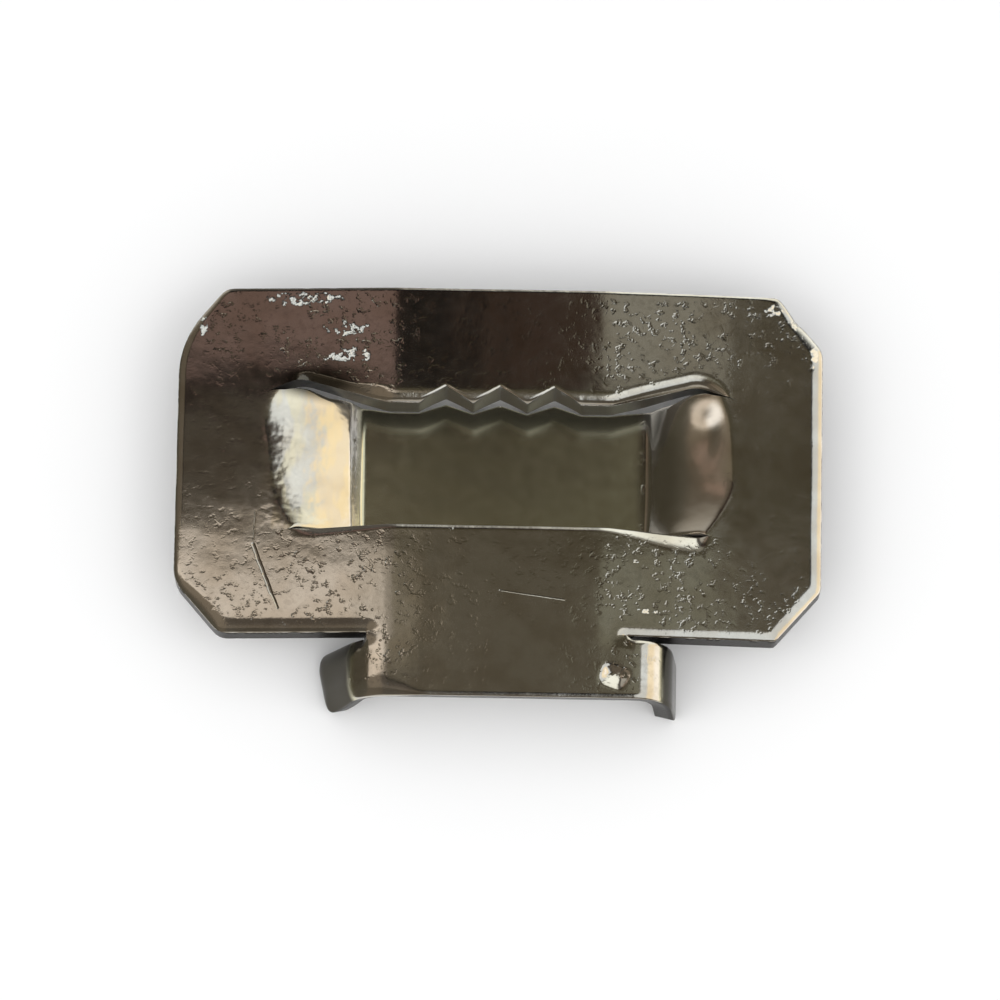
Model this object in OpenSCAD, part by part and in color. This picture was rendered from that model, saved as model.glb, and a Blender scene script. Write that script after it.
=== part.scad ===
// Toothed strapping buckle for stainless steel band, pressed and folded from one piece of sheet.
// X runs across the strap, Y along it, Z up through the sheet; the back of the bridge lies on Z = 0.

/* [Strap] */
// Width of the steel band the buckle holds
strap_w = 19; // [18:0.5:20]
// Play of the band on each side, inside the ramps of the bridge
strap_play = 0.5; // [0.3:0.1:0.8]
// Room for layers of band between the bridge and the bars in front of it
strap_room = 1.8; // [1.4:0.1:2.4]

/* [Sheet] */
// Thickness of the sheet
sheet = 1.4; // [1.2:0.1:1.6]
// Front radius of the crease at the foot of each ramp
crease_r = 0.4; // [0.2:0.1:0.8]

/* [Plate] */
// Width of the plate over both wings
plate_w = 44; // [42:0.5:48]
// Height of the plate along the strap, without the tongue
plate_h = 25.2; // [24:0.1:28]
// Width taken off each corner
clip_w = 3.1; // [2:0.1:4]
// Height taken off each corner
clip_h = 3.8; // [2:0.1:5]
// Radius that eases both ends of a clipped corner
clip_r = 1; // [0.4:0.1:2]
// Flat middle between the two wing bends
flat_w = 13.6; // [12:0.2:14]
// Angle by which each wing leans back
wing_angle = 3.5; // [2:0.5:5]
// Front radius of the wing bends
wing_bend_r = 14; // [8:1:20]

/* [Window] */
// Height of the bar below the window
lower_bar = 7.8; // [7:0.1:8.5]
// Height of the window from the lower bar to the tooth tips
window_h = 9.05; // [8.5:0.05:9.6]
// Number of notches in the biting edge
notches = 3; // [1:1:3]
// Pitch of the notches
tooth_pitch = 3.7; // [3:0.1:3.9]
// Depth of the notches
tooth_depth = 1.15; // [0.5:0.05:1.3]
// Land of the biting edge, measured in from the edge of the band
shoulder_in = 1.9; // [1.5:0.1:2.1]
// Climb of the upper edge from the tooth tips to its crest over a ramp
crest_rise = 1.75; // [1.4:0.05:3]
// Crest of the upper edge, measured out from the foot of the ramp
crest_out = 3.6; // [3:0.1:4]
// Radius that eases the crest
crest_r = 2.2; // [1.6:0.1:2.4]
// Radius that eases both edges of the window where they leave the lands
land_r = 2; // [1.2:0.1:2.4]
// Height at which the upper edge runs out beside a ramp, over the tooth tips
runout_rise = 0.4; // [0.2:0.05:1.4]
// End of the lower slit, measured out from the foot of the ramp
slit_out = 4.4; // [3.8:0.1:4.8]
// Drop of the lower slit from its middle to its ends
slit_drop = 0.35; // [0.1:0.05:0.6]
// Height of the slanted fold above the end of the lower slit
fold_h = 3.6; // [2.5:0.1:4.5]
// Shearing gap left between the bridge and the window edges
shear_gap = 0.2; // [0.1:0.05:0.3]

/* [Bridge] */
// Slope of the ramps
ramp_angle = 36; // [32:1:40]
// Front radius of the drawn bend from a ramp into a wing
ramp_r = 7.5; // [6:0.5:8]

/* [Tongue] */
// Reach of the tongue below the plate
tongue_h = 4.6; // [3.6:0.1:6]
// Start of the ear bends, measured in from the edge of the band
ear_start = 1.6; // [1.4:0.1:2]
// Play between the edge of the band and the inside of an ear
ear_play = 1.4; // [1:0.1:1.8]
// Front radius of both bends of an ear
ear_bend_r = 2.6; // [2.2:0.1:3]
// Radius of the lower corners of an ear
ear_corner_r = 0.8; // [0.4:0.1:1.4]
// Width of the slit between an ear and the wing above it
ear_slit = 0.35; // [0.25:0.05:0.5]
// Reach of the ear slit past the start of the bend
ear_slit_in = 0.9; // [0.6:0.1:1.2]
// Radius of the relief at the closed end of the ear slit
relief_r = 0.35; // [0.3:0.05:0.5]

/* [Hidden] */

$fn = 180;

// Round faces stand this much proud of the flats they run into, so that the faces cross
lap = 0.005;

total_h = plate_h + tongue_h;
depth = 2 * sheet + strap_room;
top_y = total_h / 2;
low_y = top_y - plate_h;
tongue_y = -total_h / 2;

floor_half = strap_w / 2 + strap_play;
lower_y = low_y + lower_bar;
tip_y = lower_y + window_h;
notch_half = notches * tooth_pitch / 2;
shoulder_x = strap_w / 2 - shoulder_in;
crest_x = floor_half + crest_out;
slit_x = floor_half + slit_out;

// The ramp is as long as it takes to climb from the floor to the leaning wing
ramp_bend_w = ramp_r * (sin(ramp_angle) + sin(wing_angle));
ramp_bend_h = ramp_r * (cos(wing_angle) - cos(ramp_angle));
crease_w = crease_r * sin(ramp_angle);
crease_h = crease_r * (1 - cos(ramp_angle));
wing_x = flat_w / 2 + wing_bend_r * tan(wing_angle / 2);
wing_lean = (floor_half + crease_w + ramp_bend_w - wing_x) * tan(wing_angle);
ramp_climb = depth - sheet - crease_h - ramp_bend_h - wing_lean;
ramp_len = ramp_climb / (sin(ramp_angle) + cos(ramp_angle) * tan(wing_angle));
side_x = floor_half + crease_w + ramp_len * cos(ramp_angle) + ramp_bend_w;

// Each ear leaves the tongue level and ends square to the back
ear_x = strap_w / 2 - ear_start;
ear_half = strap_w / 2 + ear_play + sheet;
ear_run = [ear_half - ear_bend_r - ear_x, depth - ear_bend_r];
ear_angle = atan2(ear_run[1], ear_run[0]);
ear_slit_x = ear_x + ear_slit_in;

function unit(v) = v / norm(v);
function spot(p) = [p[0], p[1]];
function before(pts, i) = spot(pts[(i + len(pts) - 1) % len(pts)]);
function after(pts, i) = spot(pts[(i + 1) % len(pts)]);

// Half the angle at corner i of an outline, the centre of its round and the way it turns
function half_angle(pts, i) =
    let (p = spot(pts[i]))
    acos(unit(before(pts, i) - p) * unit(after(pts, i) - p)) / 2;
function round_centre(pts, i) =
    let (p = spot(pts[i]), inward = unit(before(pts, i) - p) + unit(after(pts, i) - p))
    p + unit(inward) * pts[i][2] / sin(half_angle(pts, i));
function turn(pts, i) = sign(cross(spot(pts[i]) - before(pts, i), after(pts, i) - spot(pts[i])));

// Outline from points [x, y, radius] taken anticlockwise: corners are cut straight, then rounded by circles
function cut_corners(pts) =
    [for (i = [0 : len(pts) - 1])
        let (p = spot(pts[i]), reach = pts[i][2] / tan(half_angle(pts, i)))
        each pts[i][2] == 0 ? [p] : [
            p + reach * unit(before(pts, i) - p),
            p + reach * unit(after(pts, i) - p)
        ]];

module corner_rounds(pts, way) {
    for (i = [0 : len(pts) - 1])
        if (pts[i][2] > 0 && turn(pts, i) == way)
            translate(round_centre(pts, i)) circle(pts[i][2] + lap);
}

module eased(pts) {
    difference() {
        union() {
            polygon(cut_corners(pts));
            corner_rounds(pts, 1);
        }
        corner_rounds(pts, -1);
    }
}

function mirrored(pts) = [for (i = [len(pts) - 1 : -1 : 0]) [-pts[i][0], pts[i][1], pts[i][2]]];

// Biting edge from right to left: notch peaks and tips between the two lands
function biting_edge(y) =
    [for (k = [0 : 2 * notches])
        [notch_half - k * tooth_pitch / 2, y + (k % 2 == 1 ? tooth_depth : 0), 0]];

// Right flank of the upper edge, from the window side over the crest to the land
function upper_flank(y) = [
    [side_x, y + runout_rise, 0],
    [crest_x, y + crest_rise, crest_r],
    [shoulder_x, y, land_r]
];

// Right flank of the lower edge, from the middle over the end of the slit to the window side
function lower_flank(y, gap) = concat(
    [[shoulder_x, y + gap, land_r]],
    gap > 0 ? [[slit_x - gap, y - slit_drop + gap, 0]] : [],
    [
        [slit_x, y - slit_drop, 0],
        [side_x, y - slit_drop + fold_h, 0]
    ]
);

// Outline of the lanced strip, drawn in by the gap at both sheared edges
function lanced_outline(gap) = concat(
    lower_flank(lower_y, gap),
    upper_flank(tip_y - gap),
    biting_edge(tip_y - gap),
    mirrored(upper_flank(tip_y - gap)),
    mirrored(lower_flank(lower_y, gap))
);

function plate_outline() = [
    [plate_w / 2, low_y + clip_h, clip_r],
    [plate_w / 2, top_y - clip_h, clip_r],
    [plate_w / 2 - clip_w, top_y, clip_r],
    [-plate_w / 2 + clip_w, top_y, clip_r],
    [-plate_w / 2, top_y - clip_h, clip_r],
    [-plate_w / 2, low_y + clip_h, clip_r],
    [-plate_w / 2 + clip_w, low_y, clip_r],
    [plate_w / 2 - clip_w, low_y, clip_r]
];

// Ring sector of a bend, from angle a0 to a1, sunk at both ends into the runs it joins
module sector(inner, outer, a0, a1) {
    over = 2 * sqrt(2 * lap / inner) * 180 / PI;
    middle = (a0 + a1) / 2;
    reach = 3 * outer;
    intersection() {
        difference() {
            circle(outer + lap);
            circle(inner - lap);
        }
        polygon([
            [0, 0],
            reach * [cos(a0 - over), sin(a0 - over)],
            reach * [cos(middle), sin(middle)],
            reach * [cos(a1 + over), sin(a1 + over)]
        ]);
    }
}

// Straight run of sheet along its front face; what follows starts at its end
module run(length) {
    translate([0, -sheet]) square([length, sheet]);
    translate([length, 0]) children();
}

// Bend away from the front, then what follows
module bend_back(front_r, angle) {
    translate([0, -front_r]) sector(front_r - sheet, front_r, 90 - angle, 90);
    translate([front_r * sin(angle), -front_r * (1 - cos(angle))]) rotate(-angle) children();
}

// Bend towards the front, then what follows
module bend_front(front_r, angle) {
    translate([0, front_r]) sector(front_r, front_r + sheet, 270, 270 + angle);
    translate([front_r * sin(angle), front_r * (1 - cos(angle))]) rotate(angle) children();
}

// Right half of a section, doubled about X = 0
module both_halves() {
    children();
    mirror([1, 0]) children();
}

// Section drawn in X and Z, laid along the strap from y0 to y1
module along_strap(y0, y1) {
    translate([0, y1, 0]) rotate([90, 0, 0]) linear_extrude(y1 - y0) children();
}

// Outline drawn in X and Y, taken through the whole depth
module through_depth() {
    translate([0, 0, -1]) linear_extrude(depth + 2) children();
}

module plate_section() {
    translate([0, depth]) {
        translate([-flat_w / 2, -sheet]) square([flat_w, sheet]);
        both_halves()
            translate([flat_w / 2, 0])
                bend_back(wing_bend_r, wing_angle) run(plate_w / 2);
    }
}

module bridge_section() {
    translate([0, sheet]) {
        translate([-floor_half, -sheet]) square([2 * floor_half, sheet]);
        both_halves()
            translate([floor_half, 0])
                bend_front(crease_r, ramp_angle)
                    run(ramp_len)
                        bend_back(ramp_r, ramp_angle + wing_angle);
    }
}

module tongue_section() {
    translate([0, depth]) {
        translate([-ear_x, -sheet]) square([2 * ear_x, sheet]);
        both_halves()
            translate([ear_x, 0])
                bend_back(ear_bend_r, ear_angle)
                    run(norm(ear_run))
                        bend_back(ear_bend_r, 90 - ear_angle);
    }
}

module plate() {
    intersection() {
        along_strap(low_y - 1, top_y + 1) plate_section();
        through_depth() difference() {
            eased(plate_outline());
            eased(lanced_outline(0));
        }
    }
}

module bridge() {
    intersection() {
        along_strap(low_y - 1, top_y + 1) bridge_section();
        through_depth() eased(lanced_outline(shear_gap));
    }
}

// Side view of the tongue, with the lower corners of the ears eased
module tongue_side() {
    eased([
        [tongue_y, depth + 1, 0],
        [tongue_y, 0, ear_corner_r],
        [low_y, 0, ear_corner_r],
        [low_y, depth + 1, 0]
    ]);
}

module tongue() {
    intersection() {
        along_strap(tongue_y, low_y) tongue_section();
        translate([-plate_w / 2, 0, 0])
            rotate([90, 0, 90]) linear_extrude(plate_w) tongue_side();
    }
}

// Slit that frees an ear from the wing above it, closed by a round relief
module ear_slit_cut() {
    translate([ear_slit_x, low_y - ear_slit, -1]) cube([plate_w / 2, ear_slit, depth + 2]);
    translate([ear_slit_x, low_y - ear_slit / 2, -1]) cylinder(r = relief_r, h = depth + 2);
}

module buckle() {
    color([0.62, 0.6, 0.55])
        difference() {
            union() {
                plate();
                bridge();
                tongue();
            }
            ear_slit_cut();
            mirror([1, 0, 0]) ear_slit_cut();
        }
}

buckle();
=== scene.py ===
"""Toothed strapping buckle: one stamped sheet with rolled edges, in scratched bright stainless steel."""
import math
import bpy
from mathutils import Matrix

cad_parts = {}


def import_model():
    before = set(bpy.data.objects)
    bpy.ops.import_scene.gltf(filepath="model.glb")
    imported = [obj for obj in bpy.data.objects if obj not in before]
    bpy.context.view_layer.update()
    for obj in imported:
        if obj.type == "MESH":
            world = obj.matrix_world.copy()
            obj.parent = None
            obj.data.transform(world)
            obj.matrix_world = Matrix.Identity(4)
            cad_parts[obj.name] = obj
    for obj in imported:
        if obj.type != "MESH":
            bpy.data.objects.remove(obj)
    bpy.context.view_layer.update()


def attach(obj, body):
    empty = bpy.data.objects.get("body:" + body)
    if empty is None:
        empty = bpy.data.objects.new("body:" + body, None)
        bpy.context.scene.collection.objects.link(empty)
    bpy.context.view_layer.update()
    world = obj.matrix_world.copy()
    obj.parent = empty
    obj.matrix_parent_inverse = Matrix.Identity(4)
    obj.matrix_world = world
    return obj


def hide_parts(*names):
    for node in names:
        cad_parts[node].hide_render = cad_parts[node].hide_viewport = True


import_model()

from types import SimpleNamespace

import bpy
import numpy as np
from mathutils import Matrix, Vector

MM = 0.001

# Sheet and outline, in millimetres, in the frame of the solids
SHEET = 1.4
DEPTH = 4.6
HALF_W = 22.0
PLATE_H, TONGUE_H = 25.2, 4.6
TOP_Y = (PLATE_H + TONGUE_H) / 2
LOW_Y = TOP_Y - PLATE_H
TONGUE_Y = -TOP_Y
CLIP_W, CLIP_H = 3.1, 3.8

# Flat middle of the plate and the wings that lean back beside it
FLAT_HALF, WING_R, WING_A = 6.8, 14.0, math.radians(3.5)

# Window: lower edge, teeth, shoulders, crests and the slits at its ends
LOWER_Y = LOW_Y + 7.8
TIP_Y = LOWER_Y + 9.05
PITCH, TOOTH = 3.7, 1.15
TEETH_HALF = 1.5 * PITCH
SHOULDER_X, SHOULDER_R = 7.6, 2.0
CREST_X, CREST_Y, CREST_R = 13.6, TIP_Y + 1.75, 2.2
SIDE_X, RUNOUT_Y = 16.65, TIP_Y + 0.4
SLIT_X, SLIT_DROP = 14.4, 0.35
GAP = 0.2

# Ears: half width over both, corner radius left and right, and the relief slits above them
EAR_HALF = 12.29
EAR_CORNER_R = 1.5, 0.6
EAR_SLIT = 0.35
EAR_SLIT_X = 8.8

# Dimple in the right flap and dent in the tongue
DIMPLE_X, DIMPLE_W, DIMPLE_DEPTH = 14.1, 1.0, 0.19
DENT_X, DENT_Y, DENT_DEPTH = 8.15, -13.0, 0.36
DENT_FACE, DENT_STEP = 1.2, 0.28

# Nick in the upper right corner
NICK_X, NICK_W, NICK_H = 20.1, 0.45, 0.2

# Distance that stands for no edge near by, reach of the wear beside an edge, and what counts as no difference
FAR = 9.0
EDGE_REACH = 0.9
SAME = 1e-6


def smooth(t):
    t = np.clip(t, 0.0, 1.0)
    return t * t * (3.0 - 2.0 * t)


# Sections of the sheet: height of the front face over X

WING_X0 = FLAT_HALF + WING_R * math.sin(WING_A)
WING_Z0 = DEPTH - WING_R * (1.0 - math.cos(WING_A))


def wing_z(x):
    """Front of the plate: flat middle, then wings that lean back."""
    a = np.abs(x)
    bend = DEPTH - WING_R + np.sqrt(np.maximum(WING_R ** 2 - np.clip(a - FLAT_HALF, 0.0, WING_R) ** 2, 0.0))
    return np.where(a < WING_X0, bend, WING_Z0 - (a - WING_X0) * math.tan(WING_A))


def ramp_table(knots):
    """Height of the lanced strip from its floor to the wing, from slopes in degrees along the way."""
    at, slope = zip(*knots)
    u = np.linspace(at[0], SIDE_X, 1600)
    rise = np.tan(np.radians(np.interp(u, at, slope)))
    z = np.concatenate(([0.0], np.cumsum((rise[1:] + rise[:-1]) / 2 * np.diff(u))))
    return u, SHEET + z * (float(wing_z(SIDE_X)) - SHEET) / z[-1]


LEAN = -math.degrees(WING_A)
RIGHT_RAMP = ramp_table([(9.9, 0), (10.4, 36), (13.4, 20), (15.6, 10), (16.2, LEAN), (SIDE_X, LEAN)])
LEFT_RAMP = ramp_table([
    (9.15, 0), (9.5, 50), (10.1, 50), (10.3, 29), (13.5, 18.5), (15.5, 10), (16.1, LEAN), (SIDE_X, LEAN),
])


def curve(knots):
    """Smooth curve through a few points, as a dense table."""
    at, value = (np.array(v, float) for v in zip(*knots))
    slope = np.gradient(value, at)
    t = np.linspace(at[0], at[-1], 400)
    k = np.clip(np.searchsorted(at, t) - 1, 0, len(at) - 2)
    h = at[k + 1] - at[k]
    u = (t - at[k]) / h
    out = value[k] * (1 + 2 * u) * (1 - u) ** 2 + value[k + 1] * u * u * (3 - 2 * u)
    return t, out + h * (slope[k] * u * (1 - u) ** 2 - slope[k + 1] * u * u * (1 - u))


# Where the strip folds into the wing, over Y: slanted up from the end of the lower slit, drawn in at the top
SLIT_Y = LOWER_Y - SLIT_DROP
RIGHT_FOLD = curve([
    (SLIT_Y, SLIT_X), (-1.2, 15.7), (0.6, 16.7), (3.4, 16.7), (5.6, 16.4), (RUNOUT_Y + 1.5, 15.4),
])
LEFT_FOLD = curve([(SLIT_Y, SLIT_X), (-0.7, 15.9), (2.9, 16.6), (5.7, 16.9), (RUNOUT_Y + 1.5, 15.2)])


def strip_side(x, y, ramp, fold):
    """Front of the strip on one side, with its ramp stretched to end at the fold."""
    a = np.abs(x)
    foot = ramp[0][0]
    u = foot + (a - foot) * (SIDE_X - foot) / (np.interp(y, *fold) - foot)
    drop = np.where(u < SIDE_X, wing_z(u) - np.interp(u, *ramp), 0.0)
    return np.where(a < foot, SHEET, wing_z(a) - drop)


def flap_dimple(x, y):
    """Shallow dimple near the top of the right flap."""
    along = smooth((y - 1.6) / 3.2) * (1.0 - smooth((y - 5.0) / 2.4))
    return -DIMPLE_DEPTH * along * np.exp(-((x - DIMPLE_X) / DIMPLE_W) ** 2)


def strip_z(x, y):
    left = strip_side(x, y, LEFT_RAMP, LEFT_FOLD)
    right = strip_side(x, y, RIGHT_RAMP, RIGHT_FOLD) + flap_dimple(x, y)
    return np.where(x < 0, left, right)


def plate_z(x, y):
    return wing_z(x)


# Section of the tongue over the length s along its front face

class Ear:
    """Half of the tongue: level to start, bent back by r1, straight, then square to the back by r2."""

    def __init__(self, start, r1, r2):
        dx, dz = EAR_HALF - r2 - start, DEPTH - r1
        d = math.hypot(dx, dz)
        self.start, self.r1, self.r2 = start, r1, r2
        self.angle = math.atan2(dz, dx) + math.asin((r1 - r2) / d)
        self.s1 = start + r1 * self.angle
        self.s2 = self.s1 + math.sqrt(d * d - (r1 - r2) ** 2)
        self.end = self.s2 + r2 * (math.pi / 2 - self.angle)

    def point(self, a):
        """Returns x, z and the heading down from level, for a length a from the middle."""
        t1 = np.clip((a - self.start) / self.r1, 0.0, self.angle)
        run = np.clip(a - self.s1, 0.0, self.s2 - self.s1)
        t2 = np.clip((a - self.s2) / self.r2, 0.0, math.pi / 2 - self.angle)
        x = np.minimum(a, self.start) + self.r1 * np.sin(t1) + run * math.cos(self.angle)
        x = x + self.r2 * (np.sin(self.angle + t2) - math.sin(self.angle))
        z = DEPTH - self.r1 * (1.0 - np.cos(t1)) - run * math.sin(self.angle)
        z = z - self.r2 * (math.cos(self.angle) - np.cos(self.angle + t2))
        return x, z, t1 + t2


LEFT_EAR, RIGHT_EAR = Ear(7.3, 3.8, 1.45), Ear(9.45, 2.6, 1.45)


# Outlines in plan

def eased(points):
    """Polyline through points (x, y, radius) with each corner rounded."""
    out = []
    for k, (x, y, r) in enumerate(points):
        if r <= 0 or k in (0, len(points) - 1):
            out.append((x, y))
            continue
        p = np.array((x, y))
        u = np.array(points[k - 1][:2]) - p
        v = np.array(points[k + 1][:2]) - p
        u, v = u / np.linalg.norm(u), v / np.linalg.norm(v)
        half = math.acos(np.clip(u @ v, -1, 1)) / 2
        c = p + (u + v) / np.linalg.norm(u + v) * r / math.sin(half)
        a, b = p + u * r / math.tan(half) - c, p + v * r / math.tan(half) - c
        start = math.atan2(a[1], a[0])
        sweep = math.atan2(a[0] * b[1] - a[1] * b[0], a @ b)
        for i in range(13):
            t = start + sweep * i / 12
            out.append((c[0] + r * math.cos(t), c[1] + r * math.sin(t)))
    return np.array(out)


UPPER = eased([
    (0.0, TIP_Y + TOOTH, 0.0),
    (PITCH / 2, TIP_Y, 0.16),
    (PITCH, TIP_Y + TOOTH, 0.16),
    (TEETH_HALF, TIP_Y, 0.25),
    (SHOULDER_X, TIP_Y, SHOULDER_R),
    (CREST_X, CREST_Y, CREST_R),
    (SIDE_X, RUNOUT_Y, 0.0),
    (HALF_W + 1, RUNOUT_Y, 0.0),
])
LOWER = eased([
    (0.0, LOWER_Y, 0.0),
    (SHOULDER_X, LOWER_Y, 2.0),
    (SLIT_X, LOWER_Y - SLIT_DROP, 0.0),
    (HALF_W + 1, LOWER_Y - SLIT_DROP, 0.0),
])


def plate_quarter(edge, turn, edge_r, side_r):
    return eased([
        (0.0, edge, 0.0),
        (HALF_W - CLIP_W, edge, edge_r),
        (HALF_W, edge - turn * CLIP_H, side_r),
        (HALF_W, edge - turn * (CLIP_H + 4.0), 0.0),
    ])


# Left and right quarter of each outer edge; the corners are worn to different rounds
TOP_Q = plate_quarter(TOP_Y, 1, 1.0, 7.0), plate_quarter(TOP_Y, 1, 0.6, 1.6)
BOT_Q = plate_quarter(LOW_Y, -1, 1.3, 2.5), plate_quarter(LOW_Y, -1, 0.3, 0.9)


def over_x(poly, x):
    return np.interp(np.abs(x), poly[:, 0], poly[:, 1])


def quarter_y(pair, x):
    at = np.minimum(np.abs(x), HALF_W - 1e-9)
    left, right = (np.interp(at, poly[:-1, 0], poly[:-1, 1]) for poly in pair)
    return np.where(x < 0, left, right)


def top_y(x):
    """Upper outline, with a nick in the right-hand corner."""
    return quarter_y(TOP_Q, x) - NICK_H * np.exp(-((x - NICK_X) / NICK_W) ** 2)


def strip_top(x):
    """Upper edge of the lanced strip: the teeth again, but shallower."""
    u = over_x(UPPER, x)
    peak = TIP_Y + TOOTH
    a = np.abs(x)
    close = GAP * (1.0 - smooth((a - SIDE_X + 2.2) / 1.8))
    under = 0.12 * (1.0 - smooth((a - 8.0) / 2.5))
    back_off = np.where(x < 0, 0.30, 0.15) * smooth((a - 10.4) / 1.6) * (1.0 - smooth((a - 13.9) / 1.9))
    edge = np.where((u < peak) & (a < CREST_X), peak - GAP - 0.55 * (peak - u) + under, u - close)
    return edge - back_off


def strip_bottom(x):
    return over_x(LOWER, x) + GAP * (1.0 - smooth((np.abs(x) - SLIT_X + 0.8) / 0.8))


def dense(poly, step):
    seg = np.linalg.norm(np.diff(poly, axis=0), axis=1)
    at = np.concatenate(([0.0], np.cumsum(seg)))
    t = np.linspace(0.0, at[-1], max(2, int(at[-1] / step)))
    return np.stack([np.interp(t, at, poly[:, 0]), np.interp(t, at, poly[:, 1])], 1)


def distance(points, poly):
    """Distance of each point to a polyline given by dense points."""
    out = np.empty(len(points))
    for i in range(0, len(points), 2000):
        d = points[i:i + 2000, None, :] - poly[None, :, :]
        out[i:i + 2000] = np.sqrt((d ** 2).sum(2).min(1))
    return out


# Grid lines

EDGE_STEPS = np.array([0.0, 0.012, 0.04, 0.08, 0.14, 0.22, 0.32, 0.43, 0.55, 0.68, 0.82, 0.97, 1.15, 1.4])


def spaced(lo, hi, step, fine_lo=False, fine_hi=False):
    """Positions from lo to hi, closer together where an end is an edge."""
    left = lo + EDGE_STEPS if fine_lo else np.array([lo])
    right = (hi - EDGE_STEPS)[::-1] if fine_hi else np.array([hi])
    n = max(1, int(round((right[0] - left[-1]) / step)))
    return np.concatenate((left, np.linspace(left[-1], right[0], n + 1)[1:-1], right))


def columns():
    """Positions across the plate, closer together at the teeth, the feet of the flaps and the sides."""
    marks = [0.0, PITCH / 2, PITCH, TEETH_HALF, SHOULDER_X, EAR_SLIT_X, 9.3]
    half = [np.array([0.0])]
    for a, b in zip(marks[:-1], marks[1:]):
        part = spaced(a, b, 0.18)[1:]
        if b <= TEETH_HALF + SAME:
            part = np.union1d(part, [a + 0.07, b - 0.07])
        half.append(part)
    half.append(spaced(9.3, 10.5, 0.06)[1:])
    half.append(spaced(10.5, SLIT_X, 0.18)[1:])
    half.append(spaced(SLIT_X, SIDE_X, 0.14)[1:])
    half.append(spaced(SIDE_X, HALF_W, 0.24, fine_hi=True)[1:])
    half = np.concatenate(half)
    return np.concatenate((-half[:0:-1], half))


COLS = columns()
COL = COLS[:, None]
ACROSS = np.abs(COL)
PAST_SLIT = np.abs(COLS) >= SLIT_X - SAME
PAST_SIDE = np.abs(COLS) >= SIDE_X - SAME
ON_TONGUE = np.abs(COLS) <= EAR_SLIT_X + SAME


def shares(height, step):
    return spaced(0.0, height, step, True, True) / height


LOW_T = shares(LOWER_Y - LOW_Y, 0.32)
MID_T = shares(TIP_Y - LOWER_Y, 0.32)
TOP_T = shares(TOP_Y - TIP_Y, 0.32)
TONGUE_T = shares(LOW_Y - TONGUE_Y, 0.22)


# Rolled edges

def roll(dist, width, height):
    """Ease of a sheared edge: an even slope over its width and a tight round at the end."""
    t = np.clip(1.0 - dist / np.maximum(width, 1e-6), 0.0, 1.0)
    return height * (0.68 * t ** 1.5 + 0.32 * (1.0 - np.sqrt(np.maximum(1.0 - t ** 8, 0.0))))


def round_over(dist, width, height):
    """Round that steepens towards the edge."""
    t = np.clip(1.0 - dist / np.maximum(width, 1e-6), 0.0, 0.985)
    return height * (1.0 - np.sqrt(1.0 - t ** 2.2))


def bevel(dist, width, height):
    """Crease followed by an even slope."""
    return height * np.clip(1.0 - dist / np.maximum(width, 1e-6), 0.0, 1.0)


def rim(x, y):
    """Width and depth of the rollover along the outer edge: tight at the top, broad at the lower left."""
    side = smooth((np.abs(x) - 17.5) / 3.5)
    low = smooth((LOW_Y + 5.0 - y) / 4.0)
    left = 0.20 + 0.24 * side + 0.72 * low
    right = 0.20 + 0.58 * side + 0.44 * low * (1.0 - side)
    return np.where(x < 0, left, right), np.where(x < 0, 0.36 * left, 0.31 * right)


def lower_lip(x):
    """Width and depth of the lip under the window, drawn down most beside the right end of the slit."""
    a = np.abs(x)
    grow = smooth((a - 6.6) / 6.4) * np.where(x < 0, 0.35, 1.0)
    fade = np.where(x < 0, 2.4, 0.9)
    ends = 1.0 - smooth((a - SLIT_X + fade) / fade)
    return 0.28 + 1.05 * grow, (0.10 + 0.36 * grow) * ends


def upper_lip(x):
    """Width and depth of the bend that draws the toothed edge down, tighter and shorter on the left."""
    a = np.abs(x)
    ends = 1.0 - smooth((a - SIDE_X + np.where(x < 0, 4.0, 2.5)) / 1.6)
    crest = smooth((a - 7.5) / 3.0)
    width = 0.95 + np.where(x < 0, -0.45, 0.10) * crest
    return width, (0.46 + np.where(x < 0, -0.18, 0.16) * crest) * ends


def waviness(x, y):
    """Slight unevenness of the pressed plate, never above its nominal face."""
    w = 0.010 * np.sin(0.55 * x + 0.8 * np.sin(0.31 * y + 1.0) + 0.4)
    w = w + 0.008 * np.sin(0.72 * y - 0.35 * x + 2.1 + 0.6 * np.sin(0.4 * x))
    w = w + 0.0035 * np.sin(1.7 * x + 1.1 * y) * np.sin(1.3 * y - 0.9 * x + 0.7)
    return w - 0.0215


def dents(x, y):
    """Dent knocked into the tongue near its right bend: a slanting face that ends in a steep step."""
    across = 0.36 * (x - DENT_X) + 0.93 * (y - DENT_Y)
    along = 0.93 * (x - DENT_X) - 0.36 * (y - DENT_Y)
    fall = np.clip((across + DENT_FACE) / DENT_FACE, 0.0, 1.0) - np.clip(across / DENT_STEP, 0.0, 1.0)
    return -DENT_DEPTH * fall * (1.0 - smooth((np.abs(along) - 0.45) / 0.5))


def near_edge(dist):
    """One at an edge, falling to nought at the reach of its wear."""
    return np.clip(1.0 - dist / EDGE_REACH, 0.0, 1.0)


class Sheet:
    """Front and back points with the same faces; open edges are closed by sheared walls afterwards.

    Each point has an edge value, near_edge, and a zone: 0 on the plate, up to 1 on the floor of the strip,
    down to -1 on its ramps and up to 2 on the outer faces of the ears.
    """

    def __init__(self):
        self.front, self.back, self.edge, self.zone, self.faces = [], [], [], [], []

    def add(self, front, back, edge, zone):
        start = len(self.front)
        self.front += [tuple(p) for p in front.reshape(-1, 3)]
        self.back += [tuple(p) for p in back.reshape(-1, 3)]
        self.edge += [float(v) for v in edge.ravel()]
        self.zone += [float(v) for v in zone.ravel()]
        return np.arange(start, len(self.front)).reshape(front.shape[:2])

    def quads(self, ids):
        a, b, c, d = ids[:-1, :-1], ids[1:, :-1], ids[1:, 1:], ids[:-1, 1:]
        q = np.stack([a, b, c, d], -1).reshape(-1, 4)
        self.faces += [tuple(int(v) for v in f) for f in q]


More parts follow.
